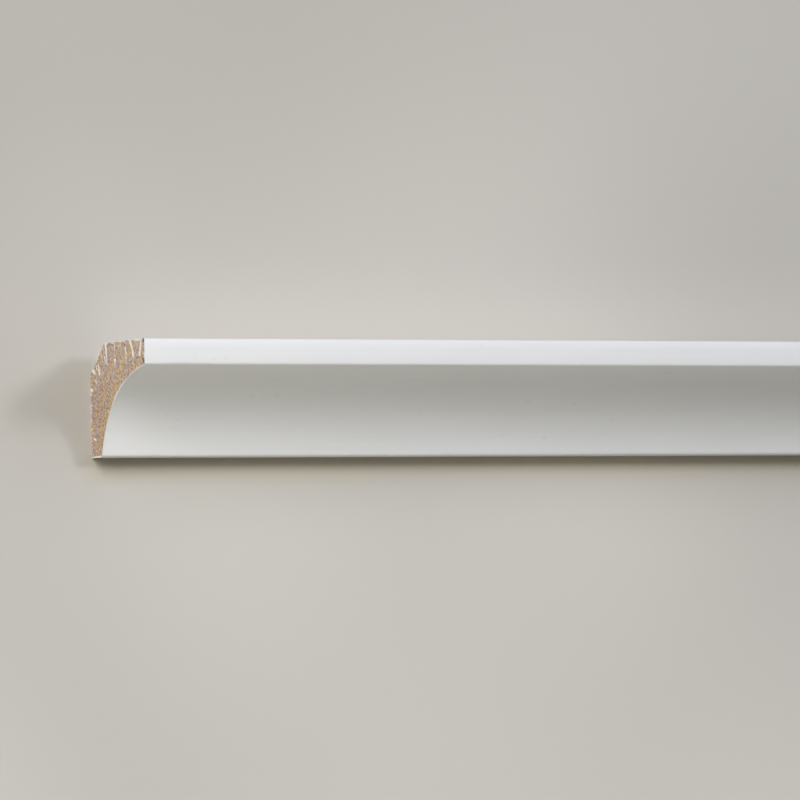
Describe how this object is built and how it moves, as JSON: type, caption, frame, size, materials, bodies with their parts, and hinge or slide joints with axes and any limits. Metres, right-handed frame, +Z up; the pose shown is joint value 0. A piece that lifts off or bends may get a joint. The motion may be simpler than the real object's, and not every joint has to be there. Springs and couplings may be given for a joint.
{
  "type": "inside corner moulding",
  "caption": "Straight length of white-painted pine inside corner moulding: a hollow cove face between square-edged lips, with flat backs and a chamfered heel.",
  "frame": {"origin": "middle of the underside: half-way along the length, half-way across the foot, on the plane that the moulding lies on", "axes": "+X along the length, +Y to the rear, out of the upright's flat back, +Z up from the foot's flat underside; the cove faces -Y and +Z"},
  "size_m": [2.4, 0.021, 0.021],
  "materials": {
    "white_painted_pine": "pine with a thin coat of white satin paint, bare and sawn at the ends"
  },
  "bodies": {
    "root": {"cove_moulding": "white_painted_pine"}
  },
  "joints": []
}
